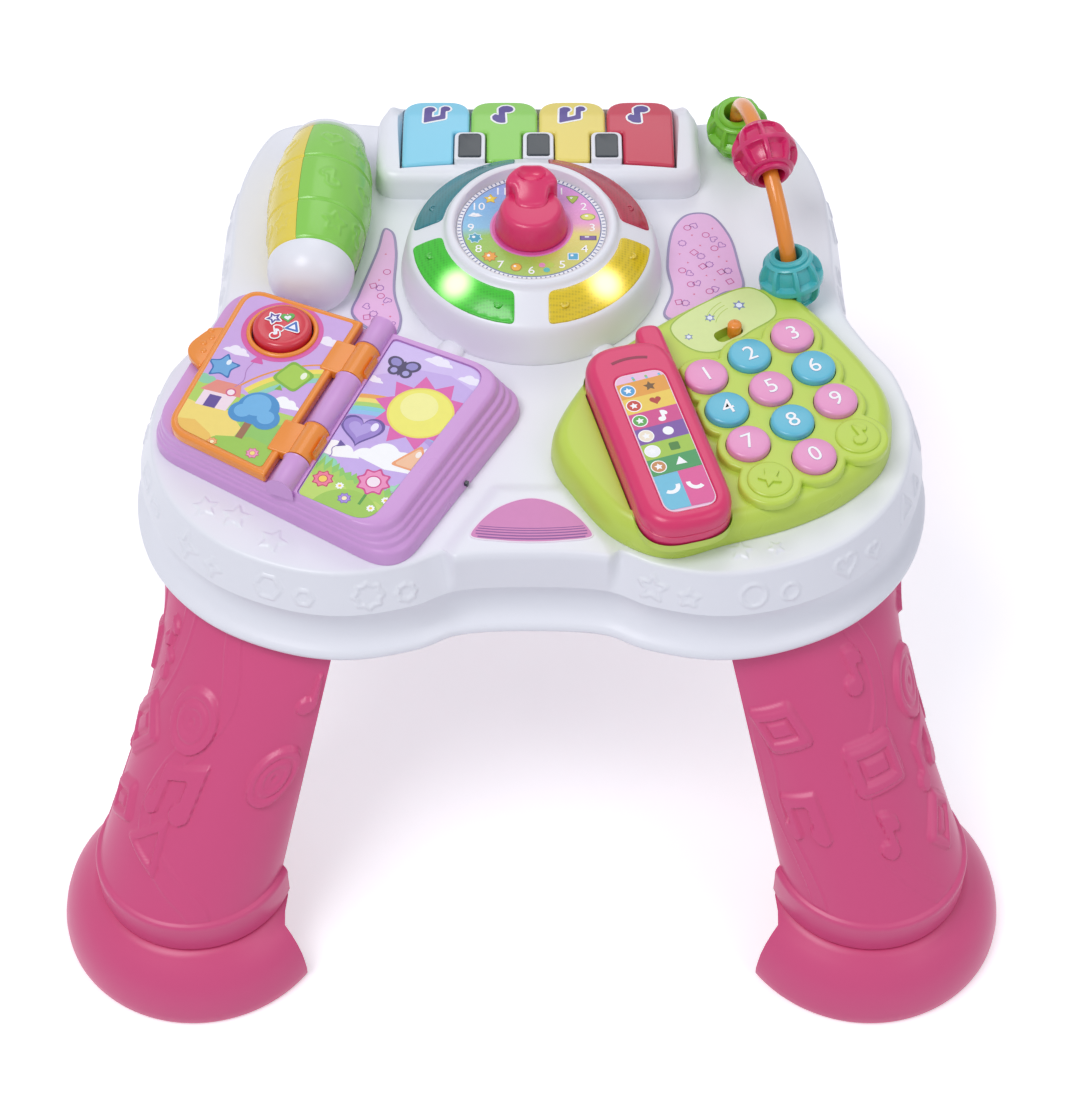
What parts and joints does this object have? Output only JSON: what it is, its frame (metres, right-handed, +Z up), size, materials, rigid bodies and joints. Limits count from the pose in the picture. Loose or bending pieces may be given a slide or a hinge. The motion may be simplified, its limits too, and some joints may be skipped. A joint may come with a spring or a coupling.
{
  "type": "activity table",
  "caption": "Toddler activity table: scalloped tray on splayed legs with clock dial, piano keys, spinning drum, sliding beads, turning book page and toy phone.",
  "frame": {"origin": "on the floor, midway between the four feet, at the centre of the bounding box", "axes": "+Z up, -Y towards the label side where a child stands, +X towards the phone"},
  "size_m": [0.5514, 0.5511, 0.3537],
  "materials": {
    "white_plastic": "satin white moulded plastic",
    "pink_plastic": "satin pink moulded plastic",
    "lilac_plastic": "satin lilac moulded plastic",
    "orange_plastic": "glossy orange plastic",
    "lime_plastic": "satin lime plastic",
    "magenta_plastic": "glossy magenta plastic",
    "dark_plastic": "glossy near-black plastic",
    "steel": "bright steel",
    "circuit_green": "green circuit board laminate",
    "printed_film": "printed film",
    "clear_lime": "clear lime plastic",
    "lens_green": "translucent green plastic",
    "lens_yellow": "translucent yellow plastic",
    "lens_red": "translucent red plastic",
    "lens_teal": "translucent teal plastic",
    "drum_yellow": "glossy yellow plastic",
    "drum_green": "glossy green plastic",
    "key_blue": "glossy light blue plastic",
    "key_green": "glossy green plastic",
    "key_yellow": "glossy yellow plastic",
    "key_red": "glossy red plastic",
    "button_pink": "glossy pink plastic",
    "button_blue": "glossy blue plastic",
    "button_red": "glossy red plastic",
    "bead_green": "glossy green plastic",
    "bead_pink": "glossy magenta plastic",
    "bead_teal": "glossy teal plastic"
  },
  "bodies": {
    "table": {"top_shell": "white_plastic", "bottom_shell": "white_plastic", "clock_dome": "white_plastic", "piano_housing": "white_plastic", "leg_front_right": "pink_plastic", "leg_front_left": "pink_plastic", "leg_back_right": "pink_plastic", "leg_back_left": "pink_plastic", "battery_door": "pink_plastic", "book_base": "lilac_plastic", "bead_bar": "orange_plastic", "phone_base": "lime_plastic", "black_key_1": "dark_plastic", "black_key_2": "dark_plastic", "black_key_3": "dark_plastic", "speaker": "dark_plastic", "key_pivot_rod": "steel", "book_pin": "steel", "battery_left": "steel", "battery_right": "steel", "circuit_board": "circuit_green", "keypad_board": "circuit_green", "dial_face": "printed_film", "book_picture": "printed_film", "decal_left": "printed_film", "decal_right": "printed_film", "label_plate": "printed_film", "volume_panel": "clear_lime", "lens_green": "lens_green", "lens_yellow": "lens_yellow", "lens_red": "lens_red", "lens_teal": "lens_teal"},
    "clock_knob": {"clock_knob": "magenta_plastic", "clock_spindle": "steel"},
    "roller": {"roller_green": "drum_green", "roller_yellow": "drum_yellow", "roller_axle": "steel"},
    "key_blue": {"piano_key_blue": "key_blue"},
    "key_green": {"piano_key_green": "key_green"},
    "key_yellow": {"piano_key_yellow": "key_yellow"},
    "key_red": {"piano_key_red": "key_red"},
    "book_page": {"book_page": "orange_plastic"},
    "book_button": {"book_button": "button_red"},
    "volume_slider": {"volume_slider": "orange_plastic"},
    "handset": {"handset": "magenta_plastic", "handset_screen": "printed_film"},
    "bead_green": {"bead_green": "bead_green"},
    "bead_pink": {"bead_pink": "bead_pink"},
    "bead_teal": {"bead_teal": "bead_teal"},
    "number_button_0": {"number_button_0": "button_pink"},
    "number_button_1": {"number_button_1": "button_pink"},
    "number_button_2": {"number_button_2": "button_blue"},
    "number_button_3": {"number_button_3": "button_pink"},
    "number_button_4": {"number_button_4": "button_blue"},
    "number_button_5": {"number_button_5": "button_pink"},
    "number_button_6": {"number_button_6": "button_blue"},
    "number_button_7": {"number_button_7": "button_pink"},
    "number_button_8": {"number_button_8": "button_blue"},
    "number_button_9": {"number_button_9": "button_pink"}
  },
  "joints": [
    {"name": "clock_knob_spin", "type": "hinge", "parent": "table", "child": "clock_knob", "pos_m": [0, 0.073, 0.301], "axis": [0, 0, 1], "continuous": true},
    {"name": "roller_spin", "type": "hinge", "parent": "table", "child": "roller", "pos_m": [-0.1245, 0.112, 0.281], "axis": [0.05, 0.9988, 0], "continuous": true},
    {"name": "key_blue_press", "type": "hinge", "parent": "table", "child": "key_blue", "pos_m": [0.004, 0.1415, 0.2764], "axis": [1, 0, 0], "range_deg": [-4, 0], "stiffness_Nm_per_rad": 0.6, "springref_deg": 3.44},
    {"name": "key_green_press", "type": "hinge", "parent": "table", "child": "key_green", "pos_m": [0.004, 0.1415, 0.2764], "axis": [1, 0, 0], "range_deg": [-4, 0], "stiffness_Nm_per_rad": 0.6, "springref_deg": 3.44},
    {"name": "key_yellow_press", "type": "hinge", "parent": "table", "child": "key_yellow", "pos_m": [0.004, 0.1415, 0.2764], "axis": [1, 0, 0], "range_deg": [-4, 0], "stiffness_Nm_per_rad": 0.6, "springref_deg": 3.44},
    {"name": "key_red_press", "type": "hinge", "parent": "table", "child": "key_red", "pos_m": [0.004, 0.1415, 0.2764], "axis": [1, 0, 0], "range_deg": [-4, 0], "stiffness_Nm_per_rad": 0.6, "springref_deg": 3.44},
    {"name": "book_page_turn", "type": "hinge", "parent": "table", "child": "book_page", "pos_m": [-0.109, -0.055, 0.288], "axis": [0.3907, 0.9205, 0], "range_deg": [0, 160]},
    {"name": "book_button_press", "type": "slide", "parent": "table", "child": "book_button", "axis": [0, 0, -1], "range_m": [0, 0.003], "stiffness_N_per_m": 400, "springref_m": -0.0015},
    {"name": "number_button_0_press", "type": "slide", "parent": "table", "child": "number_button_0", "axis": [0, 0, -1], "range_m": [0, 0.0025], "stiffness_N_per_m": 400, "springref_m": -0.0015},
    {"name": "number_button_1_press", "type": "slide", "parent": "table", "child": "number_button_1", "axis": [0, 0, -1], "range_m": [0, 0.0025], "stiffness_N_per_m": 400, "springref_m": -0.0015},
    {"name": "number_button_2_press", "type": "slide", "parent": "table", "child": "number_button_2", "axis": [0, 0, -1], "range_m": [0, 0.0025], "stiffness_N_per_m": 400, "springref_m": -0.0015},
    {"name": "number_button_3_press", "type": "slide", "parent": "table", "child": "number_button_3", "axis": [0, 0, -1], "range_m": [0, 0.0025], "stiffness_N_per_m": 400, "springref_m": -0.0015},
    {"name": "number_button_4_press", "type": "slide", "parent": "table", "child": "number_button_4", "axis": [0, 0, -1], "range_m": [0, 0.0025], "stiffness_N_per_m": 400, "springref_m": -0.0015},
    {"name": "number_button_5_press", "type": "slide", "parent": "table", "child": "number_button_5", "axis": [0, 0, -1], "range_m": [0, 0.0025], "stiffness_N_per_m": 400, "springref_m": -0.0015},
    {"name": "number_button_6_press", "type": "slide", "parent": "table", "child": "number_button_6", "axis": [0, 0, -1], "range_m": [0, 0.0025], "stiffness_N_per_m": 400, "springref_m": -0.0015},
    {"name": "number_button_7_press", "type": "slide", "parent": "table", "child": "number_button_7", "axis": [0, 0, -1], "range_m": [0, 0.0025], "stiffness_N_per_m": 400, "springref_m": -0.0015},
    {"name": "number_button_8_press", "type": "slide", "parent": "table", "child": "number_button_8", "axis": [0, 0, -1], "range_m": [0, 0.0025], "stiffness_N_per_m": 400, "springref_m": -0.0015},
    {"name": "number_button_9_press", "type": "slide", "parent": "table", "child": "number_button_9", "axis": [0, 0, -1], "range_m": [0, 0.0025], "stiffness_N_per_m": 400, "springref_m": -0.0015},
    {"name": "volume_slide", "type": "slide", "parent": "table", "child": "volume_slider", "axis": [0.8457, 0.5337, 0], "range_m": [-0.008, 0]},
    {"name": "handset_lift", "type": "slide", "parent": "table", "child": "handset", "axis": [0, 0, 1], "range_m": [0, 0.06]},
    {"name": "bead_green_slide", "type": "hinge", "parent": "table", "child": "bead_green", "pos_m": [0.1382, 0.1128, 0.272], "axis": [0.9735, 0.189, 0.1286], "range_deg": [0, 25]},
    {"name": "bead_pink_slide", "type": "hinge", "parent": "table", "child": "bead_pink", "pos_m": [0.1382, 0.1128, 0.272], "axis": [0.9735, 0.189, 0.1286], "range_deg": [-30, 14]},
    {"name": "bead_teal_slide", "type": "hinge", "parent": "table", "child": "bead_teal", "pos_m": [0.1382, 0.1128, 0.272], "axis": [0.9735, 0.189, 0.1286], "range_deg": [-15, 0]}
  ]
}
